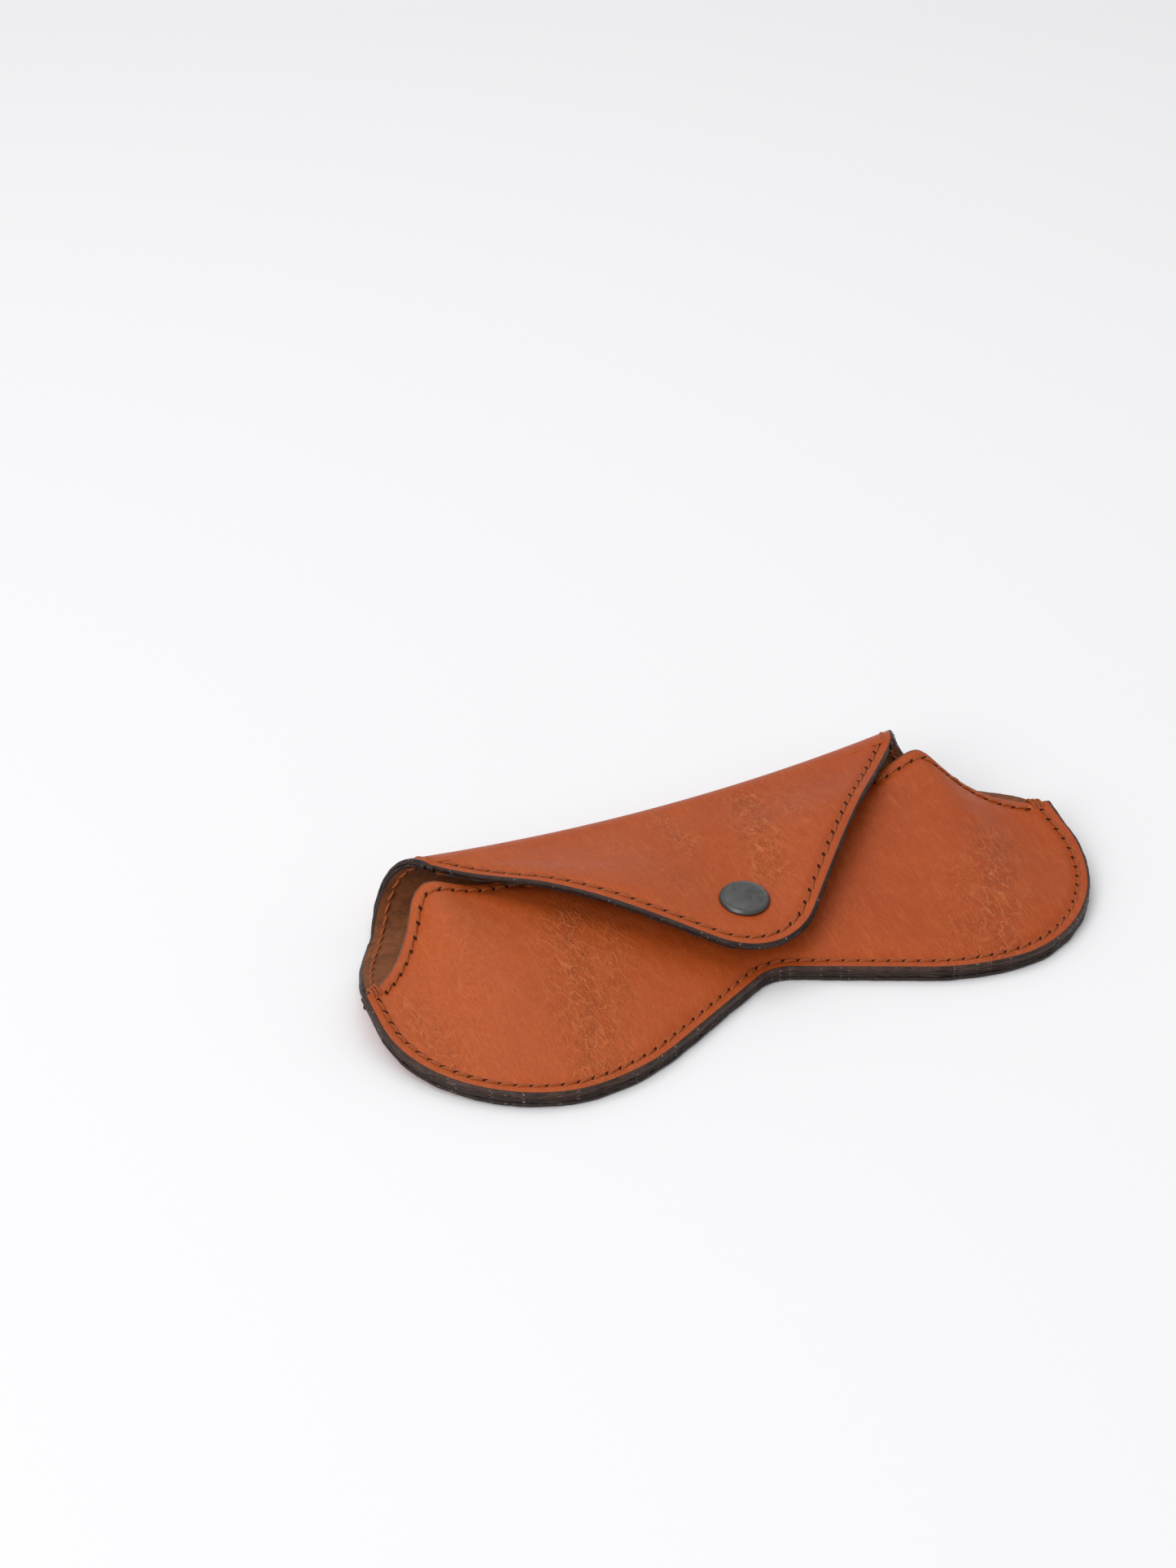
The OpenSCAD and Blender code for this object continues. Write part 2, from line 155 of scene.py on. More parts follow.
def scoop_arc():
    """Middle of the scoop's arc and the turn at which it leaves the mouth's rounded corner."""
    reach = SCOOP_R + MOUTH_R
    dx, dy = HALF_W - MOUTH_X, CORNER_Y - MOUTH_Y + MOUTH_R
    span = math.hypot(dx, dy)
    turn = math.atan2(dy, dx) + math.acos((reach ** 2 + span ** 2 - SCOOP_R ** 2) / (2 * reach * span))
    return (MOUTH_X + reach * math.cos(turn), MOUTH_Y - MOUTH_R + reach * math.sin(turn),
            math.degrees(turn))


SCOOP_X, SCOOP_Y, SCOOP_TURN = scoop_arc()


def scoop_edge(x):
    return SCOOP_Y - math.sqrt(SCOOP_R ** 2 - (SCOOP_X - x) ** 2)


def mouth_outline(inset):
    end = 360 - math.degrees(math.acos((HALF_W - inset - SCOOP_X) / (SCOOP_R + inset)))
    return np.vstack([
        [[0, MOUTH_Y - inset]],
        arc(MOUTH_X, MOUTH_Y - MOUTH_R, MOUTH_R - inset, 90, SCOOP_TURN, 16),
        arc(SCOOP_X, SCOOP_Y, SCOOP_R + inset, 180.5 + SCOOP_TURN, end, 50)])


def side_outline(inset):
    """Free side of the back, from the fold to the scoop corner."""
    t = np.linspace(1, 0, 40)
    low, high = (HALF_W - inset, CORNER_Y), (FOLD_BOTTOM - 1.2 * inset, FOLD_Y)
    return np.c_[low[0] + (high[0] - low[0]) * (0.4 * t + 0.6 * t * t), low[1] + (high[1] - low[1]) * t]


def flap_outline(inset):
    """From the middle of the tip to the top of the fold."""
    r, cy, side = FLAP_TIP_R - inset, FLAP_TIP_Y + FLAP_TIP_R, FOLD_TOP - 1.4 * inset
    dy = FOLD_Y - cy
    a = math.degrees(math.atan2(dy, side) - math.acos(r / math.hypot(side, dy)))
    return np.vstack([arc(0, cy, r, 270, 360 + a, 30), [[side, FOLD_Y]]])


def both_sides(p):
    return np.vstack([p[:0:-1] * [-1, 1], p])


# ---- heights ---------------------------------------------------------------------------------
def outline_y(x):
    a, f = np.abs(x), math.radians(FLANK)
    notch = NOTCH - NOTCH_R + np.sqrt(np.clip(NOTCH_R ** 2 - a * a, 0, None))
    flank = NOTCH - NOTCH_R * (1 - math.cos(f)) - (a - NOTCH_R * math.sin(f)) * math.tan(f)
    flat = FLAT_R - np.sqrt(np.clip(FLAT_R ** 2 - (a - LOBE_X) ** 2, 0, None))
    out = np.clip((a - LOBE_X) / ROUND_R, 0, 1)
    lobe = ROUND_R - ROUND_R * (1 - out ** (2 / TAPER)) ** (TAPER / 2)
    return np.select([a < NOTCH_R * math.sin(f), a < LOBE_X - FLAT_R * math.sin(f), a < LOBE_X],
                     [notch, flank, flat], lobe)


def lift(x, y):
    """How far the underside of the case stands off the table."""
    side = np.clip((np.abs(x) - LIFT_X) / (HALF_W - LIFT_X), 0, 1) ** 2
    fore = 0.15 + 0.85 * np.clip((y - LIFT_Y) / (CORNER_Y - LIFT_Y), 0, 1) ** 2.5
    aft = 1 - smooth((y - CORNER_Y) / (FOLD_Y - CORNER_Y)) ** 1.4
    return CORNER_LIFT * side * np.where(y < CORNER_Y, fore, aft)


def bulge(x, y):
    """How far the front stands off the back."""
    a = np.abs(x)
    start = outline_y(x) + SEAM_INSET + 0.5
    t = np.clip((y - start) / (MOUTH_Y - start), 0, 1)
    body = (SWELL + LOBE_SWELL * (a / 50) ** 2) * (1 - smooth((a - LOBE_X) / ROUND_R))
    flare = FLARE * np.exp(-((a - FLARE_X) / FLARE_R) ** 2)
    snap = SNAP_PULL * np.exp(-(x * x + (y - SNAP_Y) ** 2) / 80)
    return body * (1 - (1 - t) ** 2) + flare * t ** 3 + snap * smooth(t * 6)


def front_top(x, y):
    return lift(x, y) + 2 * STACK + bulge(x, y)


def flap_top(x, y):
    """Top of the closed flap: arched over the pocket, with a sag along the fold."""
    u = np.clip((FOLD_Y - y) / (FOLD_Y - FLAP_TIP_Y), 0, 1)
    spread = 16.5 + 11.5 * smooth((y - 36) / (FOLD_Y - 36))
    rise = (FLAP_ARCH + np.sin(math.pi * u) ** 2) * (1 - np.exp(-(x / spread) ** 2))
    over_pocket = FLAP_CROWN - FLAP_DROP * u ** 1.4 + rise
    at_fold = FOLD_MID_H + (FOLD_END_H - FOLD_MID_H) * (x / FOLD_TOP) ** 2
    sag = smooth((y - FLAP_SAG_Y) / (FOLD_Y - FLAP_SAG_Y))
    return over_pocket * (1 - sag) + at_fold * sag


def seam_dip(d):
    """How deep the stitches pull the leather in, at distance d from the edge."""
    return 0.32 * np.exp(-((d - SEAM_INSET) / 0.85) ** 2) + 0.18 * np.exp(-d / 0.7)


def surface(height, xy, dip=0.0):
    """Points and outward normals on a height field."""
    x, y, e = xy[:, 0], xy[:, 1], 0.05
    z = height(x, y) - dip
    gx = (height(x + e, y) - height(x - e, y)) / (2 * e)
    gy = (height(x, y + e) - height(x, y - e)) / (2 * e)
    n = np.c_[-gx, -gy, np.ones(len(x))]
    return np.c_[x, y, z], n / np.linalg.norm(n, axis=1)[:, None]


def fold_point(share, turn, depth=0.0):
    """A point on the fold: share of the half width from -1 to 1, turn in degrees from -90 to 90."""
    half = FOLD_BOTTOM + (FOLD_TOP - FOLD_BOTTOM) * (turn + 90) / 180
    x = share * half
    r = flap_top(x, FOLD_Y) / 2
    c, s = np.cos(np.radians(turn)), np.sin(np.radians(turn))
    return np.stack([x + 0 * c, FOLD_Y + (r - depth) * c, r + (r - depth) * s], -1)


# ---- sheets ----------------------------------------------------------------------------------
class Sheet:
    """A grid of points with an ordered rim; layers of leather are grown from it."""

    def __init__(self, points, quads, rim, rest, label, inward):
        self.v, self.quads, self.rim = points, quads, rim
        self.rest, self.label, self.inward = rest, label, inward
        self.refresh()

    def refresh(self):
        """Normals of the points and outward directions of the rim."""
        points, quads, rim = self.v, self.quads, self.rim
        q = points[quads]
        n = np.cross(q[:, 2] - q[:, 0], q[:, 3] - q[:, 1])
        self.up = np.zeros_like(points)
        for k in range(4):
            np.add.at(self.up, quads[:, k], n)
        self.up /= np.linalg.norm(self.up, axis=1)[:, None]
        ring = points[rim]
        along = np.roll(ring, -1, axis=0) - np.roll(ring, 1, axis=0)
        out = np.cross(along, self.up[rim])
        for _ in range(4):
            out = out / np.linalg.norm(out, axis=1)[:, None]
            out = (np.roll(out, 1, axis=0) + 2 * out + np.roll(out, -1, axis=0)) / 4
        self.out = out / np.linalg.norm(out, axis=1)[:, None]

    def rim_distance(self):
        edge = self.v[self.rim]
        parts = [np.sqrt(((p[:, None] - edge[None]) ** 2).sum(-1).min(1))
                 for p in np.array_split(self.v, max(1, len(self.v) // 2000))]
        return np.concatenate(parts)


def grid_quads(rows, cols, start=0):
    j, i = np.mgrid[0:rows - 1, 0:cols - 1]
    a = start + j.ravel() * cols + i.ravel()
    return np.c_[a, a + 1, a + cols + 1, a + cols]


def mirror_rows(p):
    """Right half rows of points, made whole about x = 0."""
    return np.concatenate([p[:, :0:-1] * [-1, 1], p], axis=1)


def front_sheet():
    n, m = 170, 100
    low = resample(pocket_outline(PAINT, CORNER_Y - SIDE_RUN), n)
    high = resample(mouth_outline(PAINT), n)
    t = np.linspace(0, 1, m + 1)[:, None, None]
    xy = mirror_rows(low + (high - low) * t)
    rows, cols = xy.shape[:2]
    xy = xy.reshape(-1, 2)
    ids = np.arange(rows * cols).reshape(rows, cols)
    rim = np.r_[ids[0], ids[1:, -1], ids[-1, -2::-1], ids[-2:0:-1, 0]]
    v = np.c_[xy, front_top(xy[:, 0], xy[:, 1])]
    return Sheet(v, grid_quads(rows, cols), rim, np.c_[xy, 0 * xy[:, :1]],
                 np.zeros((rows - 1) * (cols - 1), int), -1)


CUTS = (-90 + BEND, -90 + 2 * BEND)       # turns at which the hide is cut into pieces
FOLD_TURNS = np.unique(np.r_[np.linspace(-90, CUTS[0], 15), np.linspace(CUTS[0], CUTS[1], 15),
                             np.linspace(CUTS[1], 90, 13)])


def hide_sheet():
    """Outer face of the hide that makes the back, the fold and the flap, with its rim."""
    m, fold_n = 90, 112
    side = side_outline(PAINT)
    side_n = int(round(length(side) / (FOLD_BOTTOM / fold_n)))
    n = fold_n + side_n
    low = resample(pocket_outline(PAINT, CORNER_Y - SIDE_RUN), n)
    line = np.c_[np.linspace(0, side[0, 0], fold_n + 1), np.full(fold_n + 1, FOLD_Y)]
    high = np.vstack([line, resample(side, side_n)[1:]])
    t = np.linspace(0, 1, m + 1)[:, None, None]
    back = mirror_rows(low + (high - low) * t)
    cols = back.shape[1]
    flat = back.reshape(-1, 2)
    v = [np.c_[flat, lift(flat[:, 0], flat[:, 1])]]
    rest = [np.c_[flat, 0 * flat[:, :1]]]
    share = np.linspace(-1, 1, 2 * fold_n + 1) * side[0, 0] / FOLD_BOTTOM
    travel = FOLD_Y
    for turn in FOLD_TURNS[1:]:
        p = fold_point(share, turn)
        travel = FOLD_Y + (turn + 90) / 180 * FOLD_RUN
        v.append(p)
        rest.append(np.c_[p[:, 0], np.full(len(p), travel), 0 * p[:, 0]])
    flap_m = 88
    end = FOLD_TOP * side[0, 0] / FOLD_BOTTOM
    tip = resample(np.vstack([flap_outline(PAINT)[:-1], [[end - 1.0, FOLD_Y - 1.1]]]), fold_n)
    top = np.c_[np.linspace(0, end, fold_n + 1), np.full(fold_n + 1, FOLD_Y)]
    t = np.linspace(0, 1, flap_m + 1)[1:, None, None]
    flap = mirror_rows(top + (tip - top) * t).reshape(-1, 2)
    v.append(np.c_[flap, flap_top(flap[:, 0], flap[:, 1])])
    rest.append(np.c_[flap[:, 0], travel + FOLD_Y - flap[:, 1], 0 * flap[:, 0]])
    v, rest = np.vstack(v), np.vstack(rest)

    ids = np.arange(back.shape[0] * cols).reshape(-1, cols)
    mid = cols // 2
    wide = 2 * fold_n + 1
    later = np.arange(len(flat), len(v)).reshape(-1, wide)
    strip = np.vstack([ids[-1, mid - fold_n:mid + fold_n + 1], later])
    a = strip[:-1, :-1].ravel()
    quads = np.vstack([grid_quads(back.shape[0], cols),
                       np.c_[a, strip[:-1, 1:].ravel(), strip[1:, 1:].ravel(), strip[1:, :-1].ravel()]])
    rows = np.arange(len(strip) - 1)
    fold_rows = np.searchsorted(FOLD_TURNS[1:], np.array(CUTS) + 1e-6)
    row_label = (rows >= fold_rows[0]).astype(int) + (rows >= fold_rows[1])
    label = np.r_[np.zeros(len(grid_quads(back.shape[0], cols)), int), np.repeat(row_label, wide - 1)]
    rim = np.r_[ids[0], ids[1:, -1], ids[-1, -2:mid + fold_n:-1], strip[:, -1], strip[-1, -2::-1],
                strip[-2::-1, 0], ids[-1, mid - fold_n - 1::-1], ids[-2:0:-1, 0]]
    return Sheet(v, quads, rim, rest, label, 1)


def grow(sheet, d0, d1, profile, rough=0.06, seed=3):
    """One layer of a sheet between depths d0 and d1 below its outer face, with a shaped edge.

    profile is a list of (how far out, share of the depth) for the rings of the edge."""
    inward = sheet.up * sheet.inward
    n, k = len(sheet.v), len(sheet.rim)
    v = [sheet.v + inward * d0, sheet.v + inward * d1]
    ring_ids = [sheet.rim]
    base = sheet.v[sheet.rim]
    jitter = rough * (waves(base, 5, seed=seed) + 0.6 * waves(base, 1.6, seed=seed + 1))
    for r, (out, share) in enumerate(profile):
        depth = d0 + (d1 - d0) * share
        reach = out + jitter * min(1, out * 4)
        v.append(base + inward[sheet.rim] * depth + sheet.out * reach[:, None])
        ring_ids.append(2 * n + r * k + np.arange(k))
    ring_ids.append(sheet.rim + n)
    outer, inner = sheet.quads, sheet.quads + n
    faces = [outer[:, ::-1], inner] if sheet.inward > 0 else [outer, inner[:, ::-1]]
    labels, mats = [sheet.label, sheet.label], [np.zeros(len(outer), int), np.full(len(outer), 2)]
    rim_label = rim_labels(sheet)
    for a, b in zip(ring_ids[:-1], ring_ids[1:]):
        a2, b2 = np.roll(a, -1), np.roll(b, -1)
        f = np.c_[a, a2, b2, b] if sheet.inward > 0 else np.c_[a2, a, b, b2]
        faces.append(f)
        labels.append(rim_label)
        mats.append(np.ones(len(f), int))
    rest = [sheet.rest, sheet.rest]
    for _, share in profile:
        rest.append(sheet.rest[sheet.rim] + [0, 0, 1.5 + share * (d1 - d0)])
    return {"v": np.vstack(v), "f": np.vstack(faces), "label": np.concatenate(labels),
            "mat": np.concatenate(mats), "rest": np.vstack(rest)}


def rim_labels(sheet):
    """The piece each segment of the rim belongs to, from the face beside it."""
    owner = {}
    for k in range(4):
        a, b = sheet.quads[:, k], sheet.quads[:, (k + 1) % 4]
        owner.update(zip(zip(a.tolist(), b.tolist()), sheet.label.tolist()))
    segments = zip(sheet.rim.tolist(), np.roll(sheet.rim, -1).tolist())
    return np.array([owner.get((a, b), owner.get((b, a), 0)) for a, b in segments])


def vertex_normals(v, f):
    q = v[f]
    n = np.cross(q[:, 2] - q[:, 0], q[:, 3] - q[:, 1])
    out = np.zeros_like(v)
    for k in range(4):
        np.add.at(out, f[:, k], n)
    return out / np.maximum(np.linalg.norm(out, axis=1)[:, None], 1e-12)


HOLE_LONG, HOLE_WIDE, HOLE_SLANT = 0.95, 0.50, 0.75     # half sizes in mm, turn in radians


def add_holes(data, pos, normal, along, label=0):
    """Slanted stitch holes, laid on the outer face as dark quads: painted shade standing in for the hollow
    of each hole.
    """
    side = np.cross(normal, along)
    u = along * math.cos(HOLE_SLANT) + side * math.sin(HOLE_SLANT)
    w = np.cross(normal, u)
    start = len(data["v"])
    k = len(pos)
    lifted = pos + normal * 0.05
    pts = [lifted + u * HOLE_LONG, lifted + w * HOLE_WIDE, lifted - u * HOLE_LONG, lifted - w * HOLE_WIDE]
    ids = start + np.arange(4 * k).reshape(4, k).T
    data["v"] = np.vstack([data["v"]] + pts)
    data["f"] = np.vstack([data["f"], ids])
    # material 3 is the painted shade of the stitch holes
    data["mat"] = np.r_[data["mat"], np.full(k, 3)]
    data["label"] = np.r_[data["label"], np.full(k, label)]
    data["rest"] = np.vstack([data["rest"], np.zeros((4 * k, 3))])
    for key in ("crease", "near"):
        if key in data:
            data[key] = np.r_[data[key], np.zeros(4 * k)]


def build(name, data, materials, label=None):
    """A mesh object from layer data; label picks one piece of a cut sheet."""
    v, f, mat = data["v"], data["f"], data["mat"]
    normals = vertex_normals(v, f) if label is not None else None
    keep = np.ones(len(f), bool) if label is None else data["label"] == label
    f, mat = f[keep], mat[keep]
    used = np.unique(f)
    index = np.full(len(v), -1)
    index[used] = np.arange(len(used))
    mesh = bpy.data.meshes.new(name)
    mesh.from_pydata(to_row(v[used]).tolist(), [], index[f].tolist())
    for m in materials:
        mesh.materials.append(m)
    mesh.polygons.foreach_set("material_index", np.minimum(mat, len(materials) - 1).astype(np.int32))
    mesh.polygons.foreach_set("use_smooth", np.ones(len(f), bool))
    rest = mesh.attributes.new("rest", "FLOAT_VECTOR", "POINT")
    rest.data.foreach_set("vector", (data["rest"][used] / 10).astype(np.float32).ravel())
    for key in ("crease", "near"):
        if key in data:
            a = mesh.attributes.new(key, "FLOAT", "POINT")
            a.data.foreach_set("value", data[key][used].astype(np.float32))
    mesh.update()
    if normals is not None:
        mesh.normals_split_custom_set_from_vertices(normals[used].tolist())
    obj = bpy.data.objects.new(name, mesh)
    bpy.context.scene.collection.objects.link(obj)
    return obj


# ---- thread ----------------------------------------------------------------------------------
THREAD_R = 0.3
THREAD_DIP, THREAD_SLANT, TWIST_PITCH = 0.34, 0.22, 1.5
TABLE_GAP = 0.32                     # threads under the case are sunk in by this much


def stitch_tubes(pos, normal, label=0, hand=1, height=0.24):
    """Twisted thread from each hole to the next, dipping into both; hand turns its slant over."""
    a, b = pos[:-1], pos[1:]
    na, nb = normal[:-1], normal[1:]
    rings, segs = 11, 8
    t = np.linspace(0, 1, rings)[None, :, None]
    along = b - a
    size = np.linalg.norm(along, axis=1)
    along = along / size[:, None]
    n = na[:, None] * (1 - t) + nb[:, None] * t
    side = np.cross(along[:, None], n)
    side /= np.linalg.norm(side, axis=2)[:, :, None]
    arch = np.sin(math.pi * t) ** 0.55
    wander = 0.05 * waves(a, 2, seed=11)[:, None, None]
    rise = height * arch + wander * arch - THREAD_DIP * (1 - arch)
    sway = THREAD_SLANT * (1 - 2 * t) + 1.4 * wander
    centre = a[:, None] * (1 - t) + b[:, None] * t + n * rise + side * hand * sway
    theta = np.linspace(0, 2 * math.pi, segs, endpoint=False)[None, None, :]
    twist = 2 * math.pi * t * (size / TWIST_PITCH)[:, None, None]
    r = THREAD_R * (0.8 + 0.2 * arch) * (1 + 0.17 * np.cos(2 * (theta - twist)))
    ring = (np.cos(theta)[..., None] * side[:, :, None] + np.sin(theta)[..., None] * n[:, :, None])
    v = centre[:, :, None] + ring * r[..., None]
    count = len(a)
    base = np.arange(count)[:, None, None] * rings * segs
    j, i = np.arange(rings - 1)[None, :, None], np.arange(segs)[None, None, :]
    i2 = (i + 1) % segs
    f = np.stack([base + j * segs + i, base + j * segs + i2,
                  base + (j + 1) * segs + i2, base + (j + 1) * segs + i], -1).reshape(-1, 4)
    s = (t * size[:, None, None] + np.arange(count)[:, None, None] * 3.1)
    rest = np.stack(np.broadcast_arrays(s[..., 0][:, :, None], theta * THREAD_R, 0 * r), -1).reshape(-1, 3)
    return {"v": v.reshape(-1, 3), "f": f, "mat": np.zeros(len(f), int), "rest": rest,
            "label": np.repeat(np.broadcast_to(label, count), (rings - 1) * segs)}


def merge(*parts):
    out = {k: [] for k in ("v", "f", "mat", "rest", "label")}
    start = 0
    for p in parts:
        for k in out:
            out[k].append(p[k] + start if k == "f" else p[k])
        start += len(p["v"])
    return {k: np.vstack(x) if x[0].ndim > 1 else np.concatenate(x) for k, x in out.items()}


def tube(points, segs=8):
    """A twisted thread along a smooth path of points."""
    p = np.asarray(points, float)
    s = np.r_[0, np.cumsum(np.linalg.norm(np.diff(p, axis=0), axis=1))]
    fine = np.linspace(0, s[-1], 26)
    p = np.stack([np.interp(fine, s, p[:, k]) for k in range(3)], -1)
    for _ in range(3):
        p[1:-1] = (p[:-2] + 2 * p[1:-1] + p[2:]) / 4
    tan = np.gradient(p, axis=0)
    tan /= np.linalg.norm(tan, axis=1)[:, None]
    side = np.cross(tan, [1.0, 0.02, 0.03])
    side /= np.linalg.norm(side, axis=1)[:, None]
    up = np.cross(side, tan)
    theta = np.linspace(0, 2 * math.pi, segs, endpoint=False)
    r = THREAD_R * (1 + 0.15 * np.cos(2 * (theta[None] - 4 * fine[:, None])))
    v = p[:, None] + r[..., None] * (np.cos(theta)[None, :, None] * side[:, None]
                                     + np.sin(theta)[None, :, None] * up[:, None])
    j, i = np.mgrid[0:len(p) - 1, 0:segs]
    f = np.stack([j * segs + i, j * segs + (i + 1) % segs,
                  (j + 1) * segs + (i + 1) % segs, (j + 1) * segs + i], -1).reshape(-1, 4)
    rest = np.stack(np.broadcast_arrays(fine[:, None], theta[None] * THREAD_R, 0 * r), -1).reshape(-1, 3)
    return {"v": v.reshape(-1, 3), "f": f, "mat": np.zeros(len(f), int), "rest": rest,
            "label": np.zeros(len(f), int)}


# ---- materials -------------------------------------------------------------------------------
class Shader:
    """Short-hand for building a node material."""

    def __init__(self, name):
        self.mat = bpy.data.materials.new(name)
        self.mat.use_nodes = True
        self.tree = self.mat.node_tree
        self.bsdf = next(n for n in self.tree.nodes if n.type == "BSDF_PRINCIPLED")

    def link(self, value, socket):
        if isinstance(value, bpy.types.NodeSocket):
            self.tree.links.new(value, socket)
        else:
            socket.default_value = value

    def node(self, kind, out=0, props=None, **inputs):
        n = self.tree.nodes.new("ShaderNode" + kind)
        for k, x in (props or {}).items():
            setattr(n, k, x)
        for k, x in inputs.items():
            self.link(x, n.inputs[int(k[1:]) if k[0] == "i" and k[1:].isdigit() else k.replace("_", " ")])
        return n.outputs[out]

    def attribute(self, name, vector=False):
        return self.node("Attribute", 1 if vector else 2, {"attribute_name": name})

    def math(self, op, a, b=0.0, clamp=False):
        return self.node("Math", 0, {"operation": op, "use_clamp": clamp}, i0=a, i1=b)

    def mix(self, factor, a, b, blend="MIX"):
        n = self.tree.nodes.new("ShaderNodeMix")
        n.data_type, n.blend_type = "RGBA", blend
        self.link(factor, n.inputs[0])
        self.link(a, n.inputs[6])
        self.link(b, n.inputs[7])
        return n.outputs[2]

    def span(self, value, a0, a1, b0, b1):
        return self.node("MapRange", 0, None, Value=value, From_Min=a0, From_Max=a1, To_Min=b0, To_Max=b1)

    def scaled(self, vector, scale, turn=0.0):
        return self.node("Mapping", 0, None, Vector=vector, Rotation=(0, 0, turn), Scale=scale)

    def noise(self, vector, scale, detail=2.0, rough=0.5, warp=0.0):
        return self.node("TexNoise", 0, None, Vector=vector, Scale=scale, Detail=detail, Roughness=rough,
                         Distortion=warp)

    def cells(self, vector, scale):
        return self.node("TexVoronoi", 0, {"feature": "DISTANCE_TO_EDGE"}, Vector=vector, Scale=scale)

    def bump(self, height, distance, normal=None):
        n = self.tree.nodes.new("ShaderNodeBump")
        self.link(height, n.inputs["Height"])
        n.inputs["Distance"].default_value = distance
        n.inputs["Strength"].default_value = 1.0
        if normal is not None:
            self.link(normal, n.inputs["Normal"])
        return n.outputs[0]

    def surface(self, **inputs):
        for k, x in inputs.items():
            self.link(x, self.bsdf.inputs[k.replace("_", " ")])
        return self.mat


def rgb(r, g, b):
    return (r, g, b, 1)


def leather():
    s = Shader("tan_leather")
    rest = s.attribute("rest", True)
    crease, near = s.attribute("crease"), s.attribute("near")
    tone = s.noise(rest, 0.55, 3, 0.55)
    patch = s.noise(rest, 2.6, 3, 0.6, 0.4)
    color = s.mix(s.span(tone, 0.3, 0.7, 0, 1), rgb(0.350, 0.052, 0.005), rgb(0.410, 0.069, 0.009))
    color = s.mix(s.span(patch, 0.35, 0.75, 0, 0.45), color, rgb(0.455, 0.092, 0.018))
    # the left lobe is painted lighter towards its outer end: painted light standing in for the light that
    # falls from the left
    across = s.node("SeparateXYZ", 0, None, Vector=rest)
    color = s.mix(s.span(across, -7.2, 3, 0.42, 0), color, rgb(0.52, 0.120, 0.028))
    # fine hair-line grain that runs slightly across the case
    grain = s.noise(s.scaled(rest, (22, 5, 1), 0.5), 1.6, 4, 0.6, 0.6)
    color = s.mix(s.span(grain, 0.38, 0.66, 0, 0.42), color, rgb(0.27, 0.033, 0.003))
    streak = s.noise(s.scaled(rest, (9, 1.6, 1), 0.25), 1.1, 3, 0.6, 0.8)
    color = s.mix(s.span(streak, 0.50, 0.72, 0, 0.30), color, rgb(0.50, 0.125, 0.034))
    # wrinkles: long thin cells, pulled pale where the leather has been folded
    bent = s.mix(0.07, rest, s.node("TexNoise", 1, None, Vector=rest, Scale=3.0, Detail=3.0))
    long_cells = s.cells(s.scaled(bent, (9.5, 3.0, 1), 0.12), 1.0)
    short_cells = s.cells(s.scaled(bent, (14, 9.0, 1), -0.6), 1.0)
    line = s.math("ADD", s.span(long_cells, 0.0, 0.11, 1, 0), s.span(short_cells, 0.0, 0.09, 0.6, 0), True)
    worn = s.math("MULTIPLY", crease, s.span(s.noise(rest, 4.0, 3), 0.30, 0.62, 0.25, 1), True)
    folds = s.math("MULTIPLY", line, worn)
    valley = s.math("MULTIPLY", s.span(long_cells, 0.16, 0.34, 0, 0.26), worn)
    color = s.mix(valley, color, rgb(0.29, 0.036, 0.005))
    color = s.mix(s.math("MULTIPLY", folds, 0.58), color, rgb(0.58, 0.175, 0.062))
    # small pale scratches
    scratch = s.cells(s.scaled(rest, (1.1, 6.5, 1), 0.9), 1.3)
    rare = s.span(s.noise(rest, 1.7, 2), 0.60, 0.68, 0, 1)
    nick = s.math("MULTIPLY", s.span(scratch, 0.0, 0.012, 1, 0), rare)
    color = s.mix(s.math("MULTIPLY", nick, 0.35), color, rgb(0.56, 0.20, 0.10))
    color = s.mix(s.math("MULTIPLY", near, 0.25), color, rgb(0.27, 0.042, 0.008))
    pore = s.noise(rest, 34, 2, 0.5)
    bump = s.bump(folds, 0.00022)
    bump = s.bump(grain, 0.00009, bump)
    bump = s.bump(pore, 0.000035, bump)
    rough = s.span(patch, 0.3, 0.7, 0.40, 0.52)
    return s.surface(Base_Color=color, Roughness=rough, Normal=bump, Specular_IOR_Level=0.22)


def edge_paint(name, dark, mid, shine, bare_from=99.0):
    """Painted edge; beyond bare_from, in cm from the front, the paint has rubbed off to brown."""
    s = Shader(name)
    rest = s.attribute("rest", True)
    smear = s.noise(s.scaled(rest, (3, 3, 12)), 1.4, 4, 0.6)
    color = s.mix(s.span(smear, 0.35, 0.7, 0, 1), rgb(*dark), rgb(*mid))
    fleck = s.noise(rest, 16, 2, 0.5)
    color = s.mix(s.span(fleck, 0.66, 0.72, 0, 0.80), color, rgb(0.26, 0.20, 0.17))
    behind = s.node("SeparateXYZ", 1, None, Vector=rest)
    color = s.mix(s.span(behind, bare_from, bare_from + 0.2, 0, 0.85), color, rgb(0.21, 0.056, 0.017))
    ridge = s.noise(s.scaled(rest, (9, 9, 30)), 1.0, 4, 0.65)
    bump = s.bump(ridge, 0.00018)
    return s.surface(Base_Color=color, Roughness=s.span(smear, 0.3, 0.7, shine, shine + 0.2), Normal=bump,
                     Specular_IOR_Level=0.28)


def suede():
    s = Shader("brown_suede")
    rest = s.attribute("rest", True)
    nap = s.noise(rest, 30, 4, 0.7)
    cloud = s.noise(rest, 3.2, 3, 0.6, 0.5)
    color = s.mix(s.span(cloud, 0.35, 0.68, 0, 1), rgb(0.110, 0.034, 0.011), rgb(0.240, 0.074, 0.024))
    color = s.mix(s.span(nap, 0.4, 0.7, 0, 0.5), color, rgb(0.34, 0.125, 0.048))
    bump = s.bump(nap, 0.00022)
    bump = s.bump(cloud, 0.0003, bump)
    return s.surface(Base_Color=color, Roughness=0.95, Normal=bump, Specular_IOR_Level=0.2,
                     Sheen_Weight=0.15, Sheen_Roughness=0.5, Sheen_Tint=rgb(0.75, 0.5, 0.38))


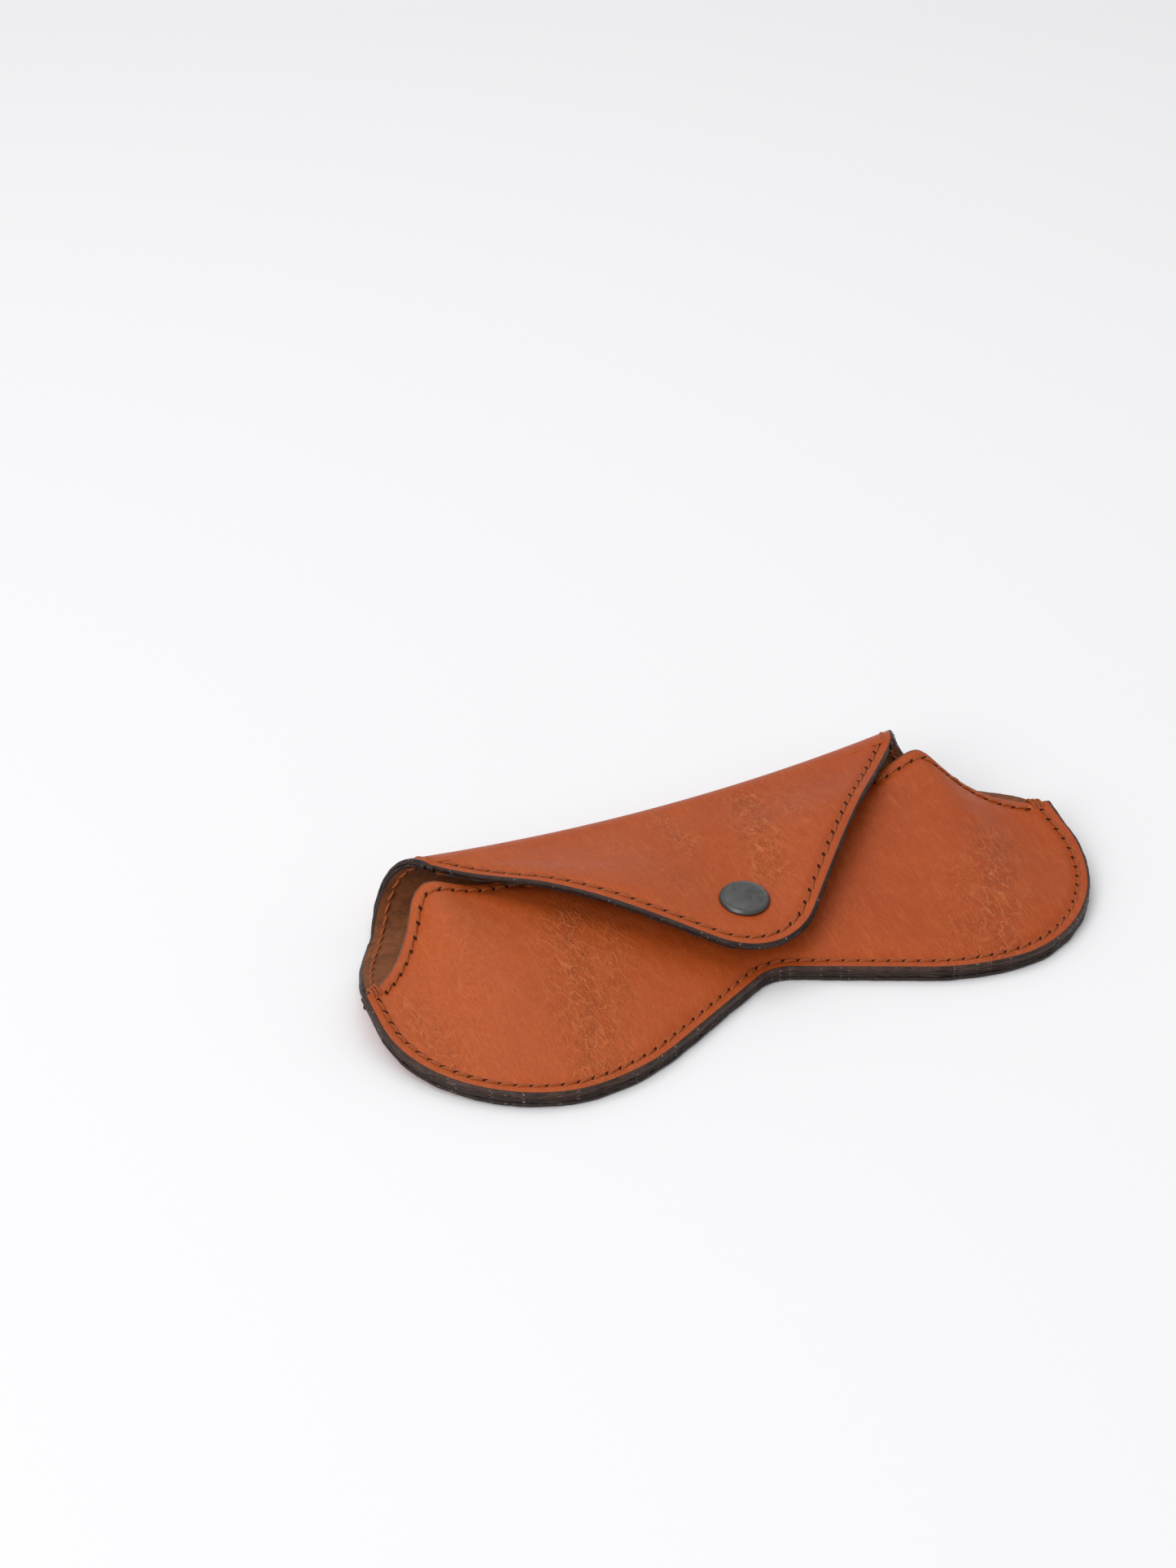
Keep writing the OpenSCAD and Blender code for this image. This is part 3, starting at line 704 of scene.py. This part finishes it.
def thread():
    s = Shader("brown_thread")
    rest = s.attribute("rest", True)
    fibre = s.noise(s.scaled(rest, (10, 60, 1), 0.7), 1.5, 3, 0.6)
    tone = s.noise(rest, 1.1, 2)
    color = s.mix(s.span(fibre, 0.3, 0.7, 0, 1), rgb(0.22, 0.042, 0.006), rgb(0.42, 0.098, 0.017))
    color = s.mix(s.span(tone, 0.35, 0.7, 0, 0.5), color, rgb(0.31, 0.066, 0.011))
    return s.surface(Base_Color=color, Roughness=0.62, Normal=s.bump(fibre, 0.00006),
                     Specular_IOR_Level=0.35)


def painted_hole_shade():
    # painted shade: a near-black colour standing in for the shadowed hollow of each stitch hole
    s = Shader("stitch_hole_shade")
    place = s.node("NewGeometry")
    color = s.mix(s.noise(place, 2500, 2), rgb(0.022, 0.005, 0.002), rgb(0.050, 0.011, 0.004))
    return s.surface(Base_Color=color, Roughness=0.9, Specular_IOR_Level=0.1)


def gunmetal(name, tint, shine):
    s = Shader(name)
    place = s.node("TexCoord", 3)
    cloud = s.noise(place, 420, 4, 0.6, 0.8)
    fine = s.noise(place, 2600, 3, 0.6)
    dark = tuple(c * 0.62 for c in tint)
    color = s.mix(s.span(cloud, 0.3, 0.7, 0, 1), rgb(*dark), rgb(*tint))
    color = s.mix(s.span(s.noise(place, 700, 3), 0.62, 0.75, 0, 0.5), color, rgb(0.16, 0.11, 0.08))
    rough = s.span(cloud, 0.3, 0.7, shine, shine + 0.18)
    return s.surface(Base_Color=color, Metallic=0.85, Roughness=rough,
                     Normal=s.bump(fine, 0.00002, s.bump(cloud, 0.00003)))


LEATHER_MAT = leather()
FRONT_EDGE = edge_paint("front_edge_paint", (0.020, 0.009, 0.006), (0.070, 0.036, 0.026), 0.34,
                        CORNER_Y / 10)
BACK_EDGE = edge_paint("back_edge_paint", (0.012, 0.006, 0.005), (0.038, 0.021, 0.016), 0.36)
SUEDE_MAT = suede()
THREAD_MAT = thread()
HOLE_SHADE_MAT = painted_hole_shade()
METAL = gunmetal("gunmetal", (0.115, 0.118, 0.115), 0.30)
STEEL = gunmetal("spring_steel", (0.55, 0.55, 0.56), 0.22)


# ---- the front of the pocket -----------------------------------------------------------------
def crease_mask(xy, bands):
    """Where the leather is wrinkled: soft bands, each (x0, y0, x1, y1, half width, strength)."""
    out = np.zeros(len(xy))
    for x0, y0, x1, y1, half, strength in bands:
        a, d = np.array([x0, y0]), np.array([x1 - x0, y1 - y0])
        t = np.clip(((xy - a) @ d) / (d @ d), 0, 1)
        gap = np.linalg.norm(xy - (a + t[:, None] * d), axis=1)
        out = np.maximum(out, strength * np.exp(-(gap / half) ** 2))
    return out


def tangents(p):
    d = np.gradient(p, axis=0)
    return d / np.linalg.norm(d, axis=1)[:, None]


def relief(sheet, d, holes):
    """Lets the seam sink in, pulls a dimple round each hole and adds soft unevenness."""
    sink = seam_dip(d)
    for h in np.array_split(holes, max(1, len(holes) // 20)):
        gap = ((sheet.v[:, None] - h[None]) ** 2).sum(-1)
        sink = sink + 0.16 * np.exp(-gap / 0.6).sum(1)
    uneven = 0.10 * waves(sheet.v[:, :2], 17, seed=21) + 0.035 * waves(sheet.v[:, :2], 5, seed=22)
    return sink - uneven * smooth(d / 6)


pocket_xy = both_sides(pocket_outline(SEAM_INSET, CORNER_Y - 1.2))
pocket_xy = resample(pocket_xy, int(round(length(pocket_xy) / PITCH)))
mouth_xy = both_sides(mouth_outline(SEAM_INSET))
mouth_xy = resample(mouth_xy, int(round(length(mouth_xy) / PITCH)))[1:-1]
flap_xy = both_sides(flap_outline(SEAM_INSET))
flap_xy = resample(flap_xy, int(round(length(flap_xy) / FLAP_PITCH)))

front = front_sheet()
front_gap = front.rim_distance()
pocket_pos, pocket_up = surface(front_top, pocket_xy, seam_dip(SEAM_INSET))
mouth_pos, mouth_up = surface(front_top, mouth_xy, seam_dip(SEAM_INSET))
front.v[:, 2] -= relief(front, front_gap, np.vstack([pocket_pos, mouth_pos]))

ROUNDED_TOP = [(0.16, 0.02), (0.36, 0.12), (0.50, 0.32), (0.55, 0.6), (0.54, 0.9)]
ROUNDED_BASE = [(0.50, 0.08), (0.48, 0.4), (0.36, 0.75), (0.18, 0.96)]
FRONT_CREASES = [(-31, 38, -42, 4, 5.5, 1.0), (-24, 33, -36, 8, 4, 0.6), (54, 27, 39, 2, 5, 1.0),
                 (44, 24, 33, 6, 4, 0.5), (-66, 30, -63, 14, 4, 0.7), (-50, 42, -58, 22, 5, 0.35)]

panel = grow(front, 0, LEATHER, ROUNDED_TOP)
panel["crease"] = np.r_[np.tile(crease_mask(front.v[:, :2], FRONT_CREASES), 2),
                        np.zeros(len(panel["v"]) - 2 * len(front.v))]
panel["near"] = np.r_[np.tile(np.exp(-front_gap / 0.8), 2), np.ones(len(panel["v"]) - 2 * len(front.v))]
for pos, up in ((pocket_pos, pocket_up), (mouth_pos, mouth_up)):
    add_holes(panel, pos, up, tangents(pos))
front_panel = build("front_leather", panel, [LEATHER_MAT, FRONT_EDGE, SUEDE_MAT, HOLE_SHADE_MAT])
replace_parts(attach(front_panel, "back"), "front_panel")

lining = grow(front, LEATHER, STACK, ROUNDED_BASE, seed=5)
front_lining = build("front_suede", lining, [SUEDE_MAT, FRONT_EDGE, SUEDE_MAT])
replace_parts(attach(front_lining, "back"), "front_lining")


# ---- the hide: back, fold and flap -----------------------------------------------------------
hide = hide_sheet()
hide_gap = hide.rim_distance()
flap_pos, flap_up = surface(flap_top, flap_xy, seam_dip(SEAM_INSET))
on_flap = (hide.rest[:, 1] > FOLD_Y + FOLD_RUN) & (hide.v[:, 2] > 5)
hide.v[on_flap, 2] -= relief(hide, hide_gap, flap_pos)[on_flap]
hide.refresh()

FLAP_CREASES = [(-3, 62 + 24, -2, 73 + 24, 3, 0.8), (15, 64 + 24, 8, 86 + 24, 4.5, 1.0),
                (-14, 66 + 24, -9, 84 + 24, 4, 0.35), (24, 64 + 24, 17, 80 + 24, 4, 0.45)]
HIDE_EDGE = [(0.16, 0.03), (0.38, 0.16), (0.52, 0.4), (0.58, 0.7), (0.57, 0.95)]
HIDE_LINING_EDGE = [(0.54, 0.1), (0.46, 0.45), (0.30, 0.8), (0.10, 0.97)]

skin = grow(hide, 0, LEATHER, HIDE_EDGE, seed=8)
skin["crease"] = np.r_[np.tile(crease_mask(hide.rest[:, :2], FLAP_CREASES), 2),
                       np.zeros(len(skin["v"]) - 2 * len(hide.v))]
skin["near"] = np.r_[np.tile(np.exp(-hide_gap / 0.8), 2), np.ones(len(skin["v"]) - 2 * len(hide.v))]
add_holes(skin, flap_pos, flap_up, tangents(flap_pos), 2)
suede_layer = grow(hide, LEATHER, STACK, HIDE_LINING_EDGE, rough=0.12, seed=9)


# turn of the fold at each point of the hide: -90 on the back's edge, 90 on the flap
turn_of = np.full(len(hide.v), -180.0)
fold_part = (hide.rest[:, 1] > FOLD_Y + 1e-6) & (hide.rest[:, 1] < FOLD_Y + FOLD_RUN - 1e-6)
turn_of[fold_part] = (hide.rest[fold_part, 1] - FOLD_Y) / FOLD_RUN * 180 - 90
turn_of[hide.rest[:, 1] >= FOLD_Y + FOLD_RUN - 1e-6] = 90
turn_of[np.abs(hide.rest[:, 1] - FOLD_Y) < 1e-6] = -90


def window_between(direction, low_turn, high_turn):
    """Start and end of a blend along a direction, between two turns of the fold."""
    d = np.array([0.0, *direction])
    d /= np.linalg.norm(d)
    both = to_row(np.vstack([hide.v + hide.up * (STACK + 0.6), hide.v - hide.up * 0.6]))
    reach = both @ d
    turn = np.tile(turn_of, 2)
    start = reach[np.abs(turn - low_turn) < 0.01].max()
    end = reach[np.abs(turn - high_turn) < 0.01].min()
    return tuple(d * start), tuple(d * end)


BLENDS = [("back", "fold_lower") + window_between((0.86, 0.51), -90, CUTS[0]),
          ("fold_lower", "fold_upper") + window_between((0.0, 1.0), CUTS[0], CUTS[1]),
          ("fold_upper", "flap") + window_between((-0.886, 0.464), CUTS[1], 90)]

NAMES = ("lower", "middle", "upper")
SKIN_NODES = (["back_panel"], ["fold_lower_panel", "fold_upper_panel"], ["flap_panel"])
SUEDE_NODES = (["back_lining"], ["fold_lower_lining", "fold_upper_lining"], ["flap_lining"])
for k, part in enumerate(NAMES):
    a, b, start, end = BLENDS[k]
    for kind, data, mats, nodes, slot in (
            ("hide_leather", skin, [LEATHER_MAT, BACK_EDGE, SUEDE_MAT, HOLE_SHADE_MAT], SKIN_NODES, "leather"),
            ("hide_suede", suede_layer, [SUEDE_MAT, BACK_EDGE, SUEDE_MAT], SUEDE_NODES, "suede")):
        piece = build(f"{kind}_{part}", data, mats, k)
        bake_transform(piece)
        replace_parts(piece, *nodes[k])


# ---- stitches --------------------------------------------------------------------------------
def under_side(height, xy, depth):
    p, n = surface(height, xy)
    return p - n * depth, -n


def ride_thread(name, data, body, *nodes):
    piece = build(name, data, [THREAD_MAT])
    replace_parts(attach(piece, body), *nodes)
    return piece


ride_thread("pocket_stitches", stitch_tubes(pocket_pos, pocket_up), "back", "pocket_needle_thread")
table_pos, table_up = under_side(lift, pocket_xy, 0)
ride_thread("pocket_back_stitches", stitch_tubes(table_pos + [0, 0, TABLE_GAP], table_up, height=0.0),
            "back", "pocket_bobbin_thread")
ride_thread("mouth_stitches", stitch_tubes(mouth_pos, mouth_up), "back", "mouth_needle_thread")
inner_pos, inner_up = under_side(front_top, mouth_xy, STACK + seam_dip(SEAM_INSET))
ride_thread("mouth_back_stitches", stitch_tubes(inner_pos, inner_up), "back", "mouth_bobbin_thread")

side_xy = side_outline(SEAM_INSET)[::-1]
side_xy = resample(side_xy, int(round(length(side_xy) / PITCH)))[2:]
rows = []
for sign in (-1, 1):
    xy = side_xy * [sign, 1]
    low, low_up = under_side(lift, xy, 0)
    top, top_up = surface(lambda x, y: lift(x, y) + STACK, xy)
    turns = np.linspace(-90, 90, 10)
    for depth, flat, flat_up in ((0.0, low, low_up), (STACK, top, top_up)):
        share = sign * (1 - 1.15 * SEAM_INSET / FOLD_BOTTOM)
        ring = fold_point(np.full(len(turns), share), turns, depth)
        outwards = np.c_[0 * turns, np.cos(np.radians(turns)), np.sin(np.radians(turns))]
        up = outwards if depth == 0 else -outwards
        pos = np.vstack([flat[:-1], ring])
        ups = np.vstack([flat_up[:-1], up])
        labels = np.r_[np.zeros(len(flat) - 1, int),
                       np.searchsorted(CUTS, (turns[:-1] + turns[1:]) / 2)]
        shift = np.where(ups[:, 2:] < -0.9, TABLE_GAP, 0.0) * [0, 0, 1]
        rows.append(stitch_tubes(pos + shift, ups, labels, sign, height=0.05))
top_seam = stitch_tubes(flap_pos, flap_up, 2)
bottom_pos, bottom_up = under_side(flap_top, flap_xy, STACK + seam_dip(SEAM_INSET))
under_seam = stitch_tubes(bottom_pos, bottom_up, 2)
hide_seams = merge(*rows, top_seam, under_seam)
SEAM_NODES = (["side_seam_thread"], ["fold_lower_thread", "fold_upper_thread"],
              ["flap_needle_thread", "flap_bobbin_thread"])
for k, part in enumerate(NAMES):
    piece = build(f"hide_stitches_{part}", hide_seams, [THREAD_MAT], k)
    a, b, start, end = BLENDS[k]
    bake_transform(piece)
    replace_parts(piece, *SEAM_NODES[k])

TACK_IN, TACK_STEP = 0.9, 0.7         # first loop inside the seam, and the loops' spacing
for name, sign in (("left", -1), ("right", 1)):
    loops = []
    for k in range(3):
        x = HALF_W - SEAM_INSET - TACK_IN + TACK_STEP * k
        out = scoop_edge(x) + 0.45
        start = out - 3.0 + 0.3 * k
        z = float(front_top(np.array([x]), np.array([start]))[0])
        low = float(lift(np.array([x]), np.array([out]))[0]) + STACK
        loops.append(tube([[sign * x, start, z - 0.5], [sign * x, start + 0.25, z + 0.12],
                           [sign * x, out - 0.6, z + 0.2], [sign * x, out + 0.3, z - 0.2],
                           [sign * x, out + 0.45, low + 0.4], [sign * x, out + 0.9, low + 0.1],
                           [sign * x, out + 1.1, low - 0.4]]))
    ride_thread(f"{name}_corner_tack", merge(*loops), "back", f"{name}_bar_tack")


# ---- snap ------------------------------------------------------------------------------------
def lathe(name, profile, at, up, mat, segs=72, sweep=360.0):
    """Turned part: profile of (radius, height) in mm along the axis up from the point at."""
    prof = np.array(profile, float)
    full = sweep >= 360
    a = np.radians(np.linspace(0, sweep, segs, endpoint=not full))
    r = prof[None, :, 0]
    x, y = r * np.cos(a)[:, None], r * np.sin(a)[:, None]
    local = np.stack([x, y, np.broadcast_to(prof[:, 1], x.shape)], -1)
    z = np.array(up) / np.linalg.norm(up)
    across = np.cross([0, 1.0, 0], z)
    across /= np.linalg.norm(across)
    v = np.array(at) + local.reshape(-1, 3) @ np.array([across, np.cross(z, across), z])
    n, m = len(a), len(prof)
    j, i = np.mgrid[0:n if full else n - 1, 0:m - 1]
    j2 = (j + 1) % n
    f = np.stack([j * m + i, j2 * m + i, j2 * m + i + 1, j * m + i + 1], -1).reshape(-1, 4)
    mesh = bpy.data.meshes.new(name)
    mesh.from_pydata(to_row(v).tolist(), [], f.tolist())
    mesh.materials.append(mat)
    mesh.polygons.foreach_set("use_smooth", np.ones(len(f), bool))
    mesh.update()
    obj = bpy.data.objects.new(name, mesh)
    bpy.context.scene.collection.objects.link(obj)
    return obj


def corner(profile, bevel=0.08):
    """The profile with each inner corner cut back, so that edges catch the light."""
    p = np.array(profile, float)
    out = [p[0]]
    for a, b, c in zip(p[:-2], p[1:-1], p[2:]):
        for q in (a, c):
            d = q - b
            out.append(b + d * min(0.45, bevel / max(np.linalg.norm(d), 1e-9)))
    return np.array(out + [p[-1]])


cap_pos, cap_up = surface(flap_top, np.array([[0.0, SNAP_Y]]))
cap_pos, cap_up = cap_pos[0] - [0, 0, 0.12], cap_up[0]
front_here = front_top(np.array([0.0]), np.array([SNAP_Y]))[0]
stud_at = cap_pos - cap_up * (cap_pos[2] - front_here)
CAP_R = 4.75
cap = lathe("snap_cap_metal", corner([[0, 1.28], [2.2, 1.26], [3.55, 1.16], [3.95, 1.12], [4.15, 1.22],
                                      [4.4, 1.14], [4.7, 0.72], [CAP_R, 0.45], [4.6, 0.1], [4.35, -0.1],
                                      [1.6, -0.1], [1.5, -STACK - 0.5], [0, -STACK - 0.5]], 0.07),
            cap_pos, cap_up, METAL)
socket = lathe("snap_socket_metal", corner([[1.55, -STACK], [4.35, -STACK], [4.45, -STACK - 0.3],
                                            [3.85, -STACK - 0.75], [3.6, -STACK - 2.2], [3.35, -STACK - 2.4],
                                            [2.75, -STACK - 2.3], [2.6, -STACK - 1.8], [3.1, -STACK - 1.6],
                                            [3.1, -STACK - 0.8], [2.6, -STACK - 0.6], [1.55, -STACK - 0.35],
                                            [1.55, -STACK]]), cap_pos, cap_up, METAL)
WIRE_R, WIRE_RING_R, WIRE_DEPTH, WIRE_SWEEP = 0.28, 2.75, STACK + 1.3, 325
round_wire = np.linspace(0, 2 * math.pi, 13)
wire = np.c_[WIRE_RING_R + WIRE_R * np.cos(round_wire), WIRE_R * np.sin(round_wire) - WIRE_DEPTH]
spring = lathe("snap_spring_wire", wire, cap_pos, cap_up, STEEL, 64, WIRE_SWEEP)
stud = lathe("snap_stud_metal", corner([[0, 2.05], [1.2, 2.1], [1.9, 1.95], [2.05, 1.6], [1.75, 1.15],
                                        [1.7, 0.7], [2.1, 0.42], [3.6, 0.3], [3.95, 0.1], [3.8, -0.15],
                                        [1.4, -0.15]]), stud_at, cap_up, METAL)
eyelet = lathe("stud_eyelet_metal", corner([[1.0, 0.2], [1.1, -STACK - 0.2], [1.5, -STACK - 0.45],
                                            [3.5, -STACK - 0.4], [3.8, -STACK - 0.15], [3.6, -STACK + 0.1],
                                            [1.4, -STACK + 0.1], [1.4, 0.2]]), stud_at, cap_up, METAL)
for piece, body, node, slot in (
        (cap, "flap", "snap_cap", "snap_metal"), (socket, "flap", "snap_socket", "snap_metal"),
        (spring, "flap", "snap_spring", "spring_wire"), (stud, "back", "snap_stud", "snap_metal"),
        (eyelet, "back", "stud_eyelet", "snap_metal")):
    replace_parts(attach(piece, body), node)


# ---- floor, light and camera -----------------------------------------------------------------
floor_mesh = bpy.data.meshes.new("floor")
floor_mesh.from_pydata([(-4, -4, 0), (4, -4, 0), (4, 4, 0), (-4, 4, 0)], [], [(0, 1, 2, 3)])
paper = Shader("pale_floor")
paper.surface(Base_Color=rgb(0.865, 0.865, 0.88), Roughness=0.9, Specular_IOR_Level=0.1)
floor_mesh.materials.append(paper.mat)
floor = bpy.data.objects.new("floor", floor_mesh)
bpy.context.scene.collection.objects.link(floor)
floor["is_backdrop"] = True

world = bpy.data.worlds.new("studio")
world.use_nodes = True
world.node_tree.nodes["Background"].inputs[0].default_value = (1, 1, 1, 1)
world.node_tree.nodes["Background"].inputs[1].default_value = 0.62
bpy.context.scene.world = world


def softbox(name, place, aim, size, power):
    light = bpy.data.lights.new(name, "AREA")
    light.shape, light.size, light.size_y, light.energy = "RECTANGLE", size[0], size[1], power
    obj = bpy.data.objects.new(name, light)
    obj.location = place
    obj.rotation_euler = (Vector(aim) - Vector(place)).to_track_quat("-Z", "Y").to_euler()
    bpy.context.scene.collection.objects.link(obj)


softbox("top_softbox", (-0.10, 0.30, 1.00), (0, 0, 0), (1.2, 0.8), 3.7)
softbox("left_softbox", (-1.15, -0.69, 0.95), (0, 0, 0), (0.9, 1.0), 11.5)

AIM = Vector((-0.0009, 0.0579, 0.0))
DISTANCE, AZIMUTH, ELEVATION, ROLL = 0.5895, 26.2, 32.854, 0.164
LENS, SENSOR = 66.92, 36
camera_data = bpy.data.cameras.new("camera")
camera_data.lens, camera_data.sensor_width = LENS, SENSOR
camera_data.clip_start = 0.01
camera = bpy.data.objects.new("camera", camera_data)
az, el = math.radians(AZIMUTH), math.radians(ELEVATION)
look = Vector((math.sin(az) * math.cos(el), math.cos(az) * math.cos(el), -math.sin(el)))
right = look.cross(Vector((0, 0, 1))).normalized()
up = right.cross(look)
roll = math.radians(ROLL)
right, up = right * math.cos(roll) + up * math.sin(roll), up * math.cos(roll) - right * math.sin(roll)
pose = Matrix((right, up, -look)).transposed().to_4x4()
pose.translation = AIM - look * DISTANCE
camera.matrix_world = pose
bpy.context.scene.collection.objects.link(camera)
bpy.context.scene.camera = camera
bpy.context.scene.view_settings.view_transform = "Standard"

bpy.context.view_layer.update()
low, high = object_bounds()
